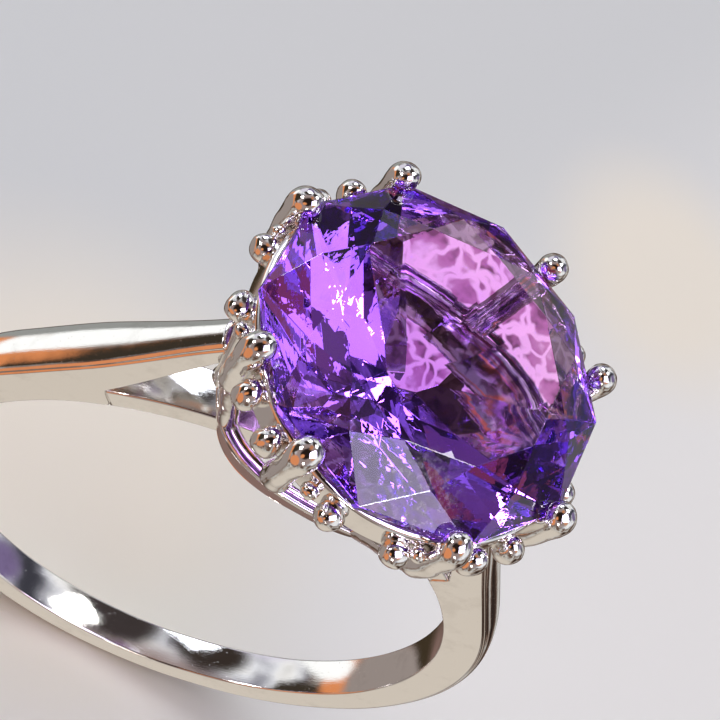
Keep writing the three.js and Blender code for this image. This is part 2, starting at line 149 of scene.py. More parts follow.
class NodeBook:
    """The nodes of one material or world."""

    def __init__(self, tree: bpy.types.NodeTree) -> None:
        """Starts with an empty tree."""
        self.tree = tree
        self.tree.nodes.clear()

    def _add(self, kind: str, settings: dict, inputs: dict) -> bpy.types.Node:
        """Adds a node with its properties and inputs, which node describes."""
        made = self.tree.nodes.new(kind)
        for name, value in settings.items():
            if name == "stops":
                self._fill_ramp(made.color_ramp, value)
            else:
                setattr(made, name, value)
        for name, value in inputs.items():
            if isinstance(value, Signal):
                self.tree.links.new(value.socket, made.inputs[name])
            else:
                made.inputs[name].default_value = value
        return made

    def node(self, kind: str, settings: dict, inputs: dict, output: int | str = 0) -> Signal:
        """Adds a node of any kind.

        Args:
            kind: The node's Blender type.
            settings: Properties set first. The key stops holds a colour ramp's stops.
            inputs: Values or signals by socket name or number.
            output: The output that the result wraps.

        Returns:
            The chosen output as a signal.
        """
        return Signal(self, self._add(kind, settings, inputs).outputs[output])

    def close(self, kind: str, inputs: dict) -> None:
        """Adds the output node that ends the tree."""
        self._add(kind, {}, inputs)

    def principled(self, inputs: dict) -> Signal:
        """A Principled shader."""
        return self.node("ShaderNodeBsdfPrincipled", {}, inputs)

    @staticmethod
    def _fill_ramp(ramp: bpy.types.ColorRamp, stops: Stops) -> None:
        """Sets a ramp's stops, each a position and a colour."""
        while len(ramp.elements) < len(stops):
            ramp.elements.new(1.0)
        for element, (position, colour) in zip(ramp.elements, stops):
            element.position = position
            element.color = (*colour, 1.0)

    def ramp(self, factor: Value, stops: Stops) -> Signal:
        """A colour ramp over a factor."""
        return self.node("ShaderNodeValToRGB", {"stops": stops}, {0: factor})

    def mix(self, factor: Value, first: Value, second: Value) -> Signal:
        """Mixes two colours, each a signal or three parts."""
        pair = [each if isinstance(each, Signal) else (*each, 1.0) for each in (first, second)]
        inputs = {0: factor, 6: pair[0], 7: pair[1]}
        return self.node("ShaderNodeMix", {"data_type": "RGBA"}, inputs, 2)

    def smooth(self, value: Value, span: Span, to: Span = (0, 1)) -> Signal:
        """Eases a value from the ends of one range to the ends of another."""
        settings = {"interpolation_type": "SMOOTHSTEP"}
        inputs = {0: value, 1: span[0], 2: span[1], 3: to[0], 4: to[1]}
        return self.node("ShaderNodeMapRange", settings, inputs)

    def vector(self, operation: str, first: Value, second: Value, output: int = 0) -> Signal:
        """A Vector Math node."""
        settings = {"operation": operation}
        return self.node("ShaderNodeVectorMath", settings, {0: first, 1: second}, output)

    def millimetres(self, stretch: Triple = (1, 1, 1)) -> Signal:
        """The surface point in millimetres, stretched along each axis."""
        point = self.node("ShaderNodeTexCoord", {}, {}, "Object")
        return self.vector("MULTIPLY", point, [each / MM for each in stretch])

    def noise(self, point: Value, grain: Grain, output: int = 0) -> Signal:
        """Noise from 0 to 1, as a number or as a colour."""
        inputs = {
            "Vector": point,
            "Scale": grain.scale,
            "Detail": grain.detail,
            "Roughness": grain.rough,
        }
        return self.node("ShaderNodeTexNoise", {}, inputs, output)

    def cells(self, point: Value, scale: float, feature: str = "F1") -> Signal:
        """Distance to the cells of a Voronoi pattern."""
        inputs = {"Vector": point, "Scale": scale}
        return self.node("ShaderNodeTexVoronoi", {"feature": feature}, inputs)

    def bump(
        self, height: Value, depth: float, strength: float = 1.0, over: Signal | None = None
    ) -> Signal:
        """A bumped normal, over another one where it is given; depth is in metres."""
        inputs = {"Height": height, "Distance": depth, "Strength": strength}
        if over is not None:
            inputs["Normal"] = over
        return self.node("ShaderNodeBump", {}, inputs)


def new_material(name: str) -> tuple[Material, NodeBook]:
    """An empty node material and the book of its nodes."""
    material = bpy.data.materials.new(name)
    material.use_nodes = True
    return material, NodeBook(material.node_tree)


# ---- finishes


@dataclass(frozen=True)
class PolishedMetal:
    """Rhodium plate over silver, polished by hand."""

    name: str
    colour: Colour = (0.88, 0.865, 0.845)
    smudge: Colour = (0.76, 0.735, 0.71)
    smooth: float = 0.045
    worn: float = 0.16
    smudges: Grain = Grain(0.8, 4, 0.62)
    smudged: Span = (0.5, 0.72)
    lines: Grain = Grain(3.1, 5, 0.7)
    line_stretch: Triple = (1, 7, 1)
    lined: Span = (0.3, 0.75)
    line_height: float = 0.5
    pits_per_mm: float = 6.5
    pit: Span = (0.03, 0.1)
    pit_height: float = 0.6
    pit_tone: float = 0.3
    smudge_tone: float = 0.6
    scratch_depth: float = 0.007 * MM
    scratch_strength: float = 0.5
    dents: Grain = Grain(0.9, 1)
    dent_depth: float = 0.012 * MM
    dent_strength: float = 0.8

    def make(self) -> Material:
        """Builds the material: smudges, polishing lines, tiny pits and soft dents."""
        material, book = new_material(self.name)
        point = book.millimetres()
        lines = book.noise(book.millimetres(self.line_stretch), self.lines)
        pits = book.smooth(book.cells(point, self.pits_per_mm), self.pit, FALLING)
        worn = book.smooth(book.noise(point, self.smudges), self.smudged)
        rough = self.smooth + (self.worn - self.smooth) * worn * book.smooth(lines, self.lined)
        relief = lines * self.line_height - pits * self.pit_height
        fine = book.bump(relief, self.scratch_depth, self.scratch_strength)
        dents = book.noise(point, self.dents)
        bent = book.bump(dents, self.dent_depth, self.dent_strength, fine)
        dulled = worn * self.smudge_tone + pits * self.pit_tone
        tone = book.mix(dulled, self.colour, self.smudge)
        shader = book.principled(
            {"Base Color": tone, "Metallic": 1.0, "Roughness": rough, "Normal": bent}
        )
        book.close("ShaderNodeOutputMaterial", {"Surface": shader})
        return material


@dataclass(frozen=True)
class CutAmethyst:
    """Violet quartz: clear, colour-zoned, with dust and fine scratches on its facets and painted
    reflections and shade under its girdle.
    """

    name: str
    pale: Colour = (0.86, 0.66, 0.98)
    deep: Colour = (0.62, 0.36, 0.95)
    body: Colour = (0.46, 0.08, 0.92)
    density: float = 150.0
    refraction: float = 1.55
    dust: Colour = (0.80, 0.74, 0.98)
    dust_roughness: float = 0.55
    zones: Grain = Grain(0.28, 2)
    zoned: Span = (0.36, 0.62)
    girdle: float = 15.6
    underside_drop: Span = (0.15, 0.4)
    # Painted reflections and shade for the underside: blotch colours, from dark shade to pale pink,
    # and a net of bright streaks.
    painted_blotches: Grain = Grain(0.85, 3, 0.55)
    painted_reflection_stops: Stops = (
        (0.38, (0.05, 0.015, 0.03)),
        (0.47, (0.28, 0.09, 0.20)),
        (0.55, (0.36, 0.15, 0.27)),
        (0.66, (0.90, 0.72, 0.86)),
    )
    painted_streak_colour: Colour = (1.0, 0.74, 0.93)
    painted_streaks_per_mm: float = 1.3
    painted_streak_width: Span = (0.04, 0.17)
    drift: Grain = Grain(0.9, 2)
    drift_reach: float = 1.6
    crumbs: Grain = Grain(1.7, 2)
    crumb_depth: float = 0.007 * MM
    specks_per_mm: float = 4.2
    speck: Span = (0.05, 0.13)
    speck_weight: float = 0.6
    patches: Grain = Grain(0.5, 3)
    patched: Span = (0.52, 0.66)
    scratches: Grain = Grain(2.2, 3)
    scratch_stretch: Triple = (1, 9, 2)
    scratched: Span = (0.66, 0.74)
    scratch_weight: float = 0.3
    grime: Grain = Grain(5.5, 5, 0.75)
    grimy: Span = (0.42, 0.72)
    dusty_place: Triple = (0.35, -4.35, 16.0)
    dusty_reach: Span = (0.68, 1.7)
    mark_weight: float = 0.38

    def make(self) -> Material:
        """Builds the stone: zoned tint, painted reflections and shade under the girdle, absorbing
        body, dust specks and scratches.
        """
        material, book = new_material(self.name)
        point = book.millimetres()
        height = book.node("ShaderNodeSeparateXYZ", {}, {0: point}, 2)
        under = book.smooth(height, tuple(self.girdle - drop for drop in self.underside_drop))
        zones = tuple(zip(self.zoned, (self.pale, self.deep)))
        tint = book.ramp(book.noise(point, self.zones), zones)
        crumbs = book.noise(point, self.crumbs) * under
        gem = book.principled(
            {
                # Below the girdle the colour is mixed towards painted reflections and shade.
                "Base Color": book.mix(under, tint, self._painted_reflections(book, point)),
                "Roughness": 0.0,
                "IOR": self.refraction,
                "Transmission Weight": 1.0,
                "Normal": book.bump(crumbs, self.crumb_depth),
            }
        )
        dust = book.principled({"Base Color": (*self.dust, 1), "Roughness": self.dust_roughness})
        marks = self._marks(book, point) * self.mark_weight
        surface = book.node("ShaderNodeMixShader", {}, {0: marks, 1: gem, 2: dust})
        body = {"Color": (*self.body, 1), "Density": self.density}
        inside = book.node("ShaderNodeVolumeAbsorption", {}, body)
        book.close("ShaderNodeOutputMaterial", {"Surface": surface, "Volume": inside})
        return material

    def _painted_reflections(self, book: NodeBook, point: Signal) -> Signal:
        """Painted reflections and shade on the underside: dark and pale blotches and a net of
        bright painted streaks.
        """
        painted_blotches = book.ramp(book.noise(point, self.painted_blotches), self.painted_reflection_stops)
        away = book.vector("MULTIPLY", book.noise(point, self.drift, 1), (self.drift_reach,) * 3)
        cells = book.cells(book.vector("ADD", point, away), self.painted_streaks_per_mm, "DISTANCE_TO_EDGE")
        return book.mix(book.smooth(cells, self.painted_streak_width, FALLING), painted_blotches, self.painted_streak_colour)

    def _marks(self, book: NodeBook, point: Signal) -> Signal:
        """Specks and scratches in patches, and grime near one place on the crown."""
        specks = book.smooth(book.cells(point, self.specks_per_mm), self.speck, FALLING)
        patch = book.smooth(book.noise(point, self.patches), self.patched)
        lines = book.noise(book.millimetres(self.scratch_stretch), self.scratches)
        scratch = book.smooth(lines, self.scratched)
        grime = book.smooth(book.noise(point, self.grime), self.grimy)
        away = book.vector("DISTANCE", point, self.dusty_place, 1)
        near = book.smooth(away, self.dusty_reach, FALLING)
        worn = (specks * patch * self.speck_weight) | (scratch * patch * self.scratch_weight)
        return worn | (near * grime)


@dataclass(frozen=True)
class PaleCloth:
    """The studio's pale floor."""

    name: str = "pale_floor"
    cool: Colour = (0.735, 0.79, 0.82)
    light: Colour = (0.93, 0.965, 0.975)
    warm: Colour = (0.97, 0.95, 0.85)
    slant: Triple = (1, -0.6, 0)
    slant_reach: Span = (-12, 12)
    warm_places: tuple[Triple, ...] = ((-3.0, 5.0, 14.0), (21.0, 31.0, 9.0))
    warm_core: float = 0.3
    roughness: float = 0.8

    def make(self) -> Material:
        """Builds a matt floor that drifts from cool to light, with two warm places."""
        material, book = new_material(self.name)
        point = book.millimetres()
        slant = book.vector("DOT_PRODUCT", point, self.slant, 1)
        tone = book.mix(book.smooth(slant, self.slant_reach), self.cool, self.light)
        flat = book.vector("MULTIPLY", point, (1, 1, 0))
        for x, y, reach in self.warm_places:
            away = book.vector("DISTANCE", flat, (x, y, 0), 1)
            near = book.smooth(away, (reach * self.warm_core, reach), FALLING)
            tone = book.mix(near, tone, self.warm)
        shader = book.principled({"Base Color": tone, "Roughness": self.roughness})
        book.close("ShaderNodeOutputMaterial", {"Surface": shader})
        return material


# ---- forms


@dataclass(frozen=True)
class Touch:
    """What hand finishing leaves: largest move, waves in each millimetre, place in the noise."""

    amount: float
    scale: float
    seed: float = 1.0


def add_object(name: str, data: bpy.types.ID) -> bpy.types.Object:
    """Makes an object of some data in the scene."""
    made = bpy.data.objects.new(name, data)
    bpy.context.scene.collection.objects.link(made)
    return made


def stand_in(name: str, mesh: bpy.types.Mesh, slot: Slot, *nodes: str) -> None:
    """Puts a mesh in the scene for frame nodes, riding on the ring's body.

    Args:
        name: The piece's name.
        mesh: Its mesh, with its material.
        slot: A slot for that material; not used.
        nodes: Frame nodes that it replaces.
    """
    piece = add_object(name, mesh)
    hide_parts(*nodes)
    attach(piece, BODY)
    log.info("%s: %d faces", name, len(mesh.polygons))


class Form:
    """Points and faces of one closed piece, in millimetres."""

    def __init__(self) -> None:
        """Starts empty."""
        self.points: list[Vector] = []
        self.faces: list[tuple[int, ...]] = []

    def loft(self, rings: Sequence[Sequence[Vector]], joined: bool = False) -> "Form":
        """Skins a row of closed rings.

        Args:
            rings: Rings with the same number of points each.
            joined: Whether the last ring meets the first; otherwise both ends are closed.

        Returns:
            This form, so that calls can follow one another.
        """
        start = len(self.points)
        count = len(rings[0])
        for ring in rings:
            self.points.extend(ring)
        rows = len(rings)
        for row in range(rows if joined else rows - 1):
            here = start + row * count
            there = start + ((row + 1) % rows) * count
            for k in range(count):
                after = (k + 1) % count
                self.faces.append((here + k, here + after, there + after, there + k))
        if not joined:
            self._close(start, count, True)
            self._close(start + (rows - 1) * count, count, False)
        return self

    def _close(self, first: int, count: int, flip: bool) -> None:
        """Closes the end ring that starts at point first with a fan."""
        middle = sum((self.points[first + k] for k in range(count)), Vector()) / count
        self.points.append(middle)
        centre = len(self.points) - 1
        for k in range(count):
            pair = (first + k, first + (k + 1) % count)
            self.faces.append((centre, *(reversed(pair) if flip else pair)))

    def shift(self, place: Callable[[Vector], Vector]) -> "Form":
        """Moves every point to where place puts it."""
        self.points = [place(point) for point in self.points]
        return self

    def soften(self, touch: Touch, number: int = 1) -> "Form":
        """Moves the points by smooth noise, as hand finishing does.

        Args:
            touch: How far, how finely and where in the noise.
            number: Which copy of the piece this is, so that copies differ.

        Returns:
            This form.
        """
        seed = touch.seed * number
        away = Vector((seed, -seed, 2 * seed))
        return self.shift(
            lambda point: point + touch.amount * noise.noise_vector(point * touch.scale + away)
        )

    def piece(self, name: str, material: Material, slot: Slot, *nodes: str) -> None:
        """Makes the smooth piece that stands for the named frame nodes.

        Args:
            name: The piece's name.
            material: Its finish.
            slot: A slot for that finish; handed to stand_in, which does not use it.
            nodes: Frame nodes that it replaces.
        """
        mesh = bpy.data.meshes.new(name)
        mesh.from_pydata([point * MM for point in self.points], [], self.faces)
        mesh.validate()
        mesh.polygons.foreach_set("use_smooth", [True] * len(mesh.polygons))
        mesh.materials.append(material)
        self._face_out(mesh)
        stand_in(name, mesh, slot, *nodes)

    @staticmethod
    def _face_out(mesh: bpy.types.Mesh) -> None:
        """Turns the faces outwards, by the sign of the enclosed volume."""
        volume = 0.0
        for face in mesh.polygons:
            corners = [mesh.vertices[k].co for k in face.vertices]
            for a, b in zip(corners[1:], corners[2:]):
                volume += corners[0].dot(a.cross(b))
        if volume < 0:
            mesh.flip_normals()


def ease(value: float, low: float, high: float) -> float:
    """Smooth step from 0 at low to 1 at high."""
    share = min(1.0, max(0.0, (value - low) / (high - low)))
    return share * share * (3 - 2 * share)


def blend(first: float, second: float, share: float) -> float:
    """Straight mix of two numbers."""
    return first + (second - first) * share


def node_points(name: str) -> np.ndarray:
    """A frame node's vertices in millimetres."""
    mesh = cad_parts[name].data
    return np.array([vertex.co for vertex in mesh.vertices], float).reshape(-1, 3) / MM


def box_mm(name: str) -> tuple[Vector, Vector]:
    """A frame node's lowest and highest corners in millimetres."""
    low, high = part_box(name)
    return low / MM, high / MM


def frame_nodes(*starts: str) -> list[str]:
    """The frame's nodes whose names start in one of some ways, in order."""
    return sorted(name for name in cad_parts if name.startswith(starts))


def bearing(name: str) -> float:
    """Direction of a head piece from the stone's axis, in radians."""
    middle = node_points(name).mean(axis=0)
    return atan2(middle[1], middle[0])


def directions(angle: float) -> tuple[Vector, Vector]:
    """Outward and sideways at a bearing from the stone's axis."""
    out = Vector((cos(angle), sin(angle), 0))
    return out, Vector((-out.y, out.x, 0))


def oval(middle: Vector, first: Vector, second: Vector, count: int) -> list[Vector]:
    """A closed ring of points about a middle, with two half axes."""
    turns = (2 * pi * k / count for k in range(count))
    return [middle + first * cos(turn) + second * sin(turn) for turn in turns]


def between(p: float, q: float, r: float, s: float, share: float) -> float:
    """Catmull-Rom value, share of the way from q to r, steered by p and s."""
    bend = 2 * p - 5 * q + 4 * r - s
    twist = 3 * q - p - 3 * r + s
    return 0.5 * (2 * q + (r - p) * share + bend * share**2 + twist * share**3)


def rounded_box(
    half: float, bottom: float, top: float, radius: float, steps: int = 5
) -> list[Span]:
    """A rectangle with rounded corners, as points (across, up), anticlockwise."""
    points = []
    corners = ((half, bottom, -90), (half, top, 0), (-half, top, 90), (-half, bottom, 180))
    for across, up, start in corners:
        centre_x = across - copysign(radius, across)
        centre_y = up + radius if up == bottom else up - radius
        for k in range(steps + 1):
            angle = radians(start + 90 * k / steps)
            points.append((centre_x + radius * cos(angle), centre_y + radius * sin(angle)))
    return points


# ---- stone


@dataclass
class Stone:
    """The faceted stone, whose facets also shape what presses against it."""

    node: str = "gemstone"
    sides: int = 10
    turn: float = radians(10)
    table: float = 3.25
    star: float = 4.0
    thickness: float = 0.2
    belly: float = 1.22
    tiers: Sequence[float] = (0.86, 0.70, 0.54, 0.38, 0.22, 0.10)
    slip: float = 0.022
    cutter_seed: int = 11
    flat_angle: float = radians(0.6)
    underside: float = -0.05
    edge: float = 0.012
    hairline: float = 0.008
    tolerance: float = 0.01

    def __post_init__(self) -> None:
        """Measures the frame's stone and works out its facets."""
        points = node_points(self.node)
        across = np.hypot(points[:, 0], points[:, 1])
        self.radius = float(across.max())
        self.girdle = float(points[across > self.radius - self.tolerance][:, 2].mean())
        low, high = box_mm(self.node)
        self.crown = high.z - self.girdle - self.thickness / 2
        self.pavilion = self.girdle - self.thickness / 2 - low.z
        self.form = self._facets()
        self._read_planes()

    def _ring(self, radius: float, height: float, offset: float) -> list[Vector]:
        """Corners at one height, offset by a share of a side."""
        step = 2 * pi / self.sides
        turns = (self.turn + step * (k + offset) for k in range(self.sides))
        return [Vector((radius * cos(t), radius * sin(t), height)) for t in turns]

    def _facets(self) -> bmesh.types.BMesh:
        """Cuts the stone as the hull of its corners: crown, girdle and tiers of pavilion."""
        half = self.thickness / 2
        flat = cos(pi / self.sides)
        kite = self.crown * (self.radius - self.star * flat) / (self.radius - self.table)
        corners = self._ring(self.table, self.girdle + half + self.crown, 0)
        corners += self._ring(self.star, self.girdle + half + kite, 0.5)
        corners += self._ring(self.radius, self.girdle + half, 0)
        corners += self._ring(self.radius, self.girdle - half, 0)
        hand = random.Random(self.cutter_seed)
        for number, tier in enumerate(self.tiers):
            down = self.pavilion * (1 - tier**self.belly)
            offset = 0.5 * ((number + 1) % 2)
            for corner in self._ring(self.radius * tier, self.girdle - half - down, offset):
                wide, turned, sunk = (hand.uniform(-self.slip, self.slip) for _ in range(3))
                x = corner.x * (1 + wide) + corner.y * turned
                y = corner.y * (1 + wide) - corner.x * turned
                corners.append(Vector((x, y, corner.z + self.pavilion * sunk)))
        corners.append(Vector((0, 0, self.girdle - half - self.pavilion)))
        form = bmesh.new()
        for corner in corners:
            form.verts.new(corner)
        made = bmesh.ops.convex_hull(form, input=form.verts)
        loose = [each for each in made["geom_interior"] if isinstance(each, bmesh.types.BMVert)]
        bmesh.ops.delete(form, geom=loose, context="VERTS")
        limit = self.flat_angle
        bmesh.ops.dissolve_limit(form, angle_limit=limit, verts=form.verts, edges=form.edges)
        bmesh.ops.recalc_face_normals(form, faces=form.faces)
        return form

    def _read_planes(self) -> None:
        """Keeps the facet planes, for seating metal against the stone."""
        self.form.normal_update()
        self.normals = np.array([face.normal[:] for face in self.form.faces])
        self.reach = np.array([face.normal.dot(face.verts[0].co) for face in self.form.faces])

    def push_out(self, point: Vector) -> Vector:
        """A point inside the stone moves to its nearest facet, the rest stay."""
        inside = self.reach + self.hairline - self.normals @ np.array(point)
        nearest = int(inside.argmin())
        if inside[nearest] <= 0:
            return point
        return point + Vector(self.normals[nearest]) * float(inside[nearest])

    def lowest(self, x: float, y: float) -> float:
        """Height of the stone's underside over a point of the plane."""
        under = self.normals[:, 2] < self.underside
        n, d = self.normals[under], self.reach[under]
        return float(((d - n[:, 0] * x - n[:, 1] * y) / n[:, 2]).max())

    def build(self, material: Material) -> None:
        """Makes the stone, with hairline bevels along its facet edges."""
        form = self.form
        bmesh.ops.bevel(form, geom=form.edges[:], offset=self.edge, segments=1, affect="EDGES")
        bmesh.ops.scale(form, vec=(MM, MM, MM), verts=form.verts)
        mesh = bpy.data.meshes.new("cut_stone")
        form.to_mesh(mesh)
        form.free()
        mesh.materials.append(material)
        stand_in("cut_stone", mesh, Slot.STONE, self.node)


# ---- head


@dataclass
class Rail:
    """The round seat rail under the girdle."""

    stone: Stone
    edge: float = 0.16
    edge_steps: int = 6
    sides: int = 300
    touch: Touch = Touch(0.012, 0.9, 3.0)

    def __post_init__(self) -> None:
        """Measures the rail in the frame."""
        points = node_points("seat_rail")
        across = np.hypot(points[:, 0], points[:, 1])
        self.outer, self.inner = float(across.max()), float(across.min())
        self.bottom, self.top = float(points[:, 2].min()), float(points[:, 2].max())

    def build(self, material: Material) -> None:
        """Turns the rounded section about the stone's axis and seats the stone in it."""
        middle = (self.outer + self.inner) / 2
        half = (self.outer - self.inner) / 2
        section = rounded_box(half, self.bottom, self.top, self.edge, self.edge_steps)
        rings = []
        for k in range(self.sides):
            angle = 2 * pi * k / self.sides
            ring = []
            for across, up in section:
                x = (middle + across) * cos(angle)
                y = (middle + across) * sin(angle)
                seat = self.stone.lowest(x, y) - self.stone.hairline
                ring.append(Vector((x, y, min(up, seat))))
            rings.append(ring)
        form = Form().loft(rings, joined=True).soften(self.touch)
        form.piece("round_seat_rail", material, Slot.SILVER, "seat_rail")


@dataclass
class Gallery:
    """The flared oblong wall that stands on the band, open under the stone."""

    squareness: float = 2.6
    wall: float = 0.5
    flare: float = 0.44
    edge: float = 0.11
    edge_steps: int = 4
    saddle: float = 9.525
    settling: int = 6
    sides: int = 260
    rise: int = 8
    touch: Touch = Touch(0.015, 0.8, 5.0)

    def __post_init__(self) -> None:
        """Measures the wall's top in the frame."""
        low, high = box_mm("base_gallery")
        self.long, self.short, self.top = high.x, high.y, high.z

    def radius(self, angle: float) -> float:
        """Distance from the stone's axis to the middle of the wall's top."""
        along = abs(cos(angle)) / (self.long - self.wall / 2)
        across = abs(sin(angle)) / (self.short - self.wall / 2)
        return (along**self.squareness + across**self.squareness) ** (-1 / self.squareness)

    def _corner(self, angle: float, inset: float) -> Vector:
        """A point of the top outline, inset from the outside."""
        power = 2 / self.squareness
        cosine, sine = cos(angle), sin(angle)
        x = (self.long - inset) * copysign(abs(cosine) ** power, cosine)
        y = (self.short - inset) * copysign(abs(sine) ** power, sine)
        return Vector((x, y, self.top))

    def _flared(self, top: Vector, share: float, inset: float) -> Vector:
        """A point of the wall, share of the way down from the top outline to the saddle."""
        point = top.copy()
        for _ in range(self.settling):
            saddle = sqrt(max(0.0, self.saddle**2 - point.x**2))
            point.z = blend(self.top - inset, saddle + inset, share)
            below = (self.top - point.z) * self.flare
            point.x = top.x * (1 - below / self.long)
            point.y = top.y * (1 - below / self.short)
        return point

    def build(self, material: Material) -> None:
        """Sweeps the rounded section of the wall round its outline."""
        turns = [radians(90 * k / self.edge_steps) for k in range(self.edge_steps + 1)]
        bends = [(self.edge * (1 - sin(t)), self.edge * (1 - cos(t))) for t in turns]
        middle = [(row / self.rise, 0.0) for row in range(1, self.rise)]
        section = [(inset, 0.0, down) for down, inset in bends]
        section += [(0.0, share, down) for share, down in middle]
        section += [(inset, 1.0, down) for down, inset in reversed(bends)]
        section += [(self.wall - inset, 1.0, down) for down, inset in bends]
        section += [(self.wall, share, down) for share, down in reversed(middle)]
        section += [(self.wall - inset, 0.0, down) for down, inset in reversed(bends)]
        rings = []
        for k in range(self.sides):
            angle = 2 * pi * (k + 0.5) / self.sides
            rings.append(
                [
                    self._flared(self._corner(angle, inset), share, down)
                    for inset, share, down in section
                ]
            )
        form = Form().loft(rings, joined=True).soften(self.touch)
        form.piece("flared_gallery", material, Slot.SILVER, "base_gallery")


@dataclass
class Claws:
    """Eight claws that stand on the gallery and bend over the girdle, each with a ball tip."""

    stone: Stone
    rail: Rail
    gallery: Gallery
    leg: float = 0.36
    foot: float = 0.29
    knuckle: float = 0.42
    knuckle_drop: float = 0.28
    knuckle_tuck: float = 0.23
    knuckle_sharpness: float = 3.0
    tip: float = 0.43
    outside: float = 0.27
    reach: float = 0.01
    rise: float = 0.2
    nose: float = 0.17
    neck: tuple[float, float] = (-1.9, -0.15)
    rows: int = 84
    sides: int = 44
    knot_steps: int = 30
    slope_step: float = 0.05
    cap: float = 0.002
    least: float = 0.004
    touch: Touch = Touch(0.026, 1.3, 7.0)
    texture: Touch = Touch(0.008, 5.0)

    def _line(self, angle: float) -> np.ndarray:
        """Points of a claw's line in its upright plane: distance from the axis and height."""
        height = self.stone.girdle + self.rise
        axis = self.rail.outer + self.outside
        tip = axis - self.reach
        knots = [
            (self.gallery.radius(angle), self.gallery.top),
            (axis - self.knuckle_tuck, self.rail.bottom - self.knuckle_drop),
            (axis, self.rail.top - self.leg),
            (tip, height),
            (tip - self.tip, height + self.nose),
        ]
        knots = [knots[0], *knots, knots[-1]]
        line = []
        for four in zip(knots, knots[1:], knots[2:], knots[3:]):
            for k in range(self.knot_steps):
                line.append([between(*axis, k / self.knot_steps) for axis in zip(*four)])
        return np.array([*line, knots[-1]])

    def _thickness(self, height: float) -> float:
        """Radius of the leg at a height, with the knuckle under the rail."""
        knuckle = self.rail.bottom - self.knuckle_drop
        leg = blend(self.foot, self.leg, ease(height, self.gallery.top, self.rail.bottom))
        off = (height - knuckle) / self.knuckle
        return leg + (self.knuckle - leg) * exp(-self.knuckle_sharpness * off * off)

    def build(self, material: Material) -> None:
        """Builds every claw in the frame as a lofted, softened and seated form."""
        for number, name in enumerate(frame_nodes("claw_"), 1):
            form = Form().loft(self._rings(bearing(name)))
            form.soften(self.touch, number).soften(self.texture, number)
            form.shift(self.stone.push_out).piece(f"bent_{name}", material, Slot.SILVER, name)

    def _rings(self, angle: float) -> list[list[Vector]]:
        """The rings of the claw at a bearing, each square to the claw's line."""
        line = self._line(angle)
        run = np.concatenate([[0], np.cumsum(np.hypot(*np.diff(line, axis=0).T))])

        def at(stop: float) -> np.ndarray:
            """Distance from the axis and height at a stop along the line."""
            return np.array([np.interp(stop, run, axis) for axis in line.T])

        out, aside = directions(angle)
        rings = []
        for stop in self._stops(float(run[-1])):
            away, height = (float(each) for each in at(stop))
            slope = at(stop + self.slope_step) - at(stop - self.slope_step)
            ahead, upward = (float(each) for each in slope / np.hypot(*slope))
            front = out * upward - Vector((0, 0, ahead))
            radius = self._round(stop, float(run[-1]), self._thickness(height))
            middle = out * away + Vector((0, 0, height))
            rings.append(oval(middle, front * radius, aside * radius, self.sides))
        return rings

    def _stops(self, length: float) -> list[float]:
        """Places of the rings along the claw, closer together over the ball."""
        centre = length - self.tip
        rows = self.rows // 2
        leg = [(centre - self.tip) * k / rows for k in range(rows)]
        ball = [centre - self.tip * cos(pi * k / rows) for k in range(rows)]
        return [*leg, *ball, length - self.cap]

    def _round(self, stop: float, length: float, leg: float) -> float:
        """Radius at a stop: the leg widens like a thumb into its round end."""
        along = (stop - length) / self.tip + 1
        if along > 0:
            return max(self.least, self.tip * sqrt(max(0.0, 1 - along * along)))
        return blend(leg, self.tip, ease(along, *self.neck))


@dataclass
class Beads:
    """The round grains that are soldered on the rail."""

    stone: Stone
    rows: int = 22
    sides: int = 32
    touch: Touch = Touch(0.05, 1.9, 2.3)
    texture: Touch = Touch(0.01, 7.0)

    def _bead(self, name: str) -> Form:
        """One bead, as wide and as tall as the frame has it."""
        low, high = box_mm(name)
        points = node_points(name)
        out, aside = directions(bearing(name))
        across = points @ np.array(aside)
        wide = float(across.max() - across.min()) / 2
        tall = float(high.z - low.z) / 2
        front = float((points @ np.array(out)).max())
        centre = out * (front - wide) + aside * float(across.max() + across.min()) / 2
        centre.z = (high.z + low.z) / 2
        rings = []
        for row in range(1, self.rows):
            tilt = pi * row / self.rows
            middle = centre - out * wide * cos(tilt)
            up = Vector((0, 0, tall * sin(tilt)))
            rings.append(oval(middle, aside * wide * sin(tilt), up, self.sides))
        return Form().loft(rings)

    def build(self, material: Material) -> None:
        """Builds all the beads of the frame, each slightly melted out of round."""
        names = frame_nodes("gap_bead_", "pair_bead_", "granule_")
        for number, name in enumerate(names, 1):
            form = self._bead(name).soften(self.touch, number).soften(self.texture, number)
            form.shift(self.stone.push_out).piece(f"melted_{name}", material, Slot.BEADS, name)


@dataclass
class Posts:
    """Straight posts from the gallery to the rail beside the shoulders."""

    gallery: Gallery
    rail: Rail
    radius: float = 0.27
    swell: float = 0.1
    swell_power: int = 6
    rows: int = 16
    sides: int = 28
    touch: Touch = Touch(0.03, 1.4, 11.0)

    def _rings(self, name: str) -> list[list[Vector]]:
        """The rings of one post, swollen with solder at both ends."""
        middle = node_points(name).mean(axis=0)
        side, across = copysign(1, middle[0]), float(middle[1])
        ring_radius = (self.rail.inner + self.rail.outer) / 2
        foot_x = self.gallery.long - self.gallery.wall / 2
        foot = Vector((side * foot_x, across, self.gallery.top))
        head = Vector((side * sqrt(ring_radius**2 - across**2), across, self.rail.bottom))
        rings = []
        for row in range(self.rows + 1):
            share = row / self.rows
            radius = self.radius + self.swell * abs(2 * share - 1) ** self.swell_power
            x, y = Vector((radius, 0, 0)), Vector((0, radius, 0))
            rings.append(oval(foot.lerp(head, share), x, y, self.sides))
        return rings

    def build(self, material: Material) -> None:
        """Builds the posts."""
        for number, name in enumerate(frame_nodes("shoulder_post_"), 1):
            form = Form().loft(self._rings(name)).soften(self.touch, number)
            form.piece(f"soldered_{name}", material, Slot.SILVER, name)


# ---- band


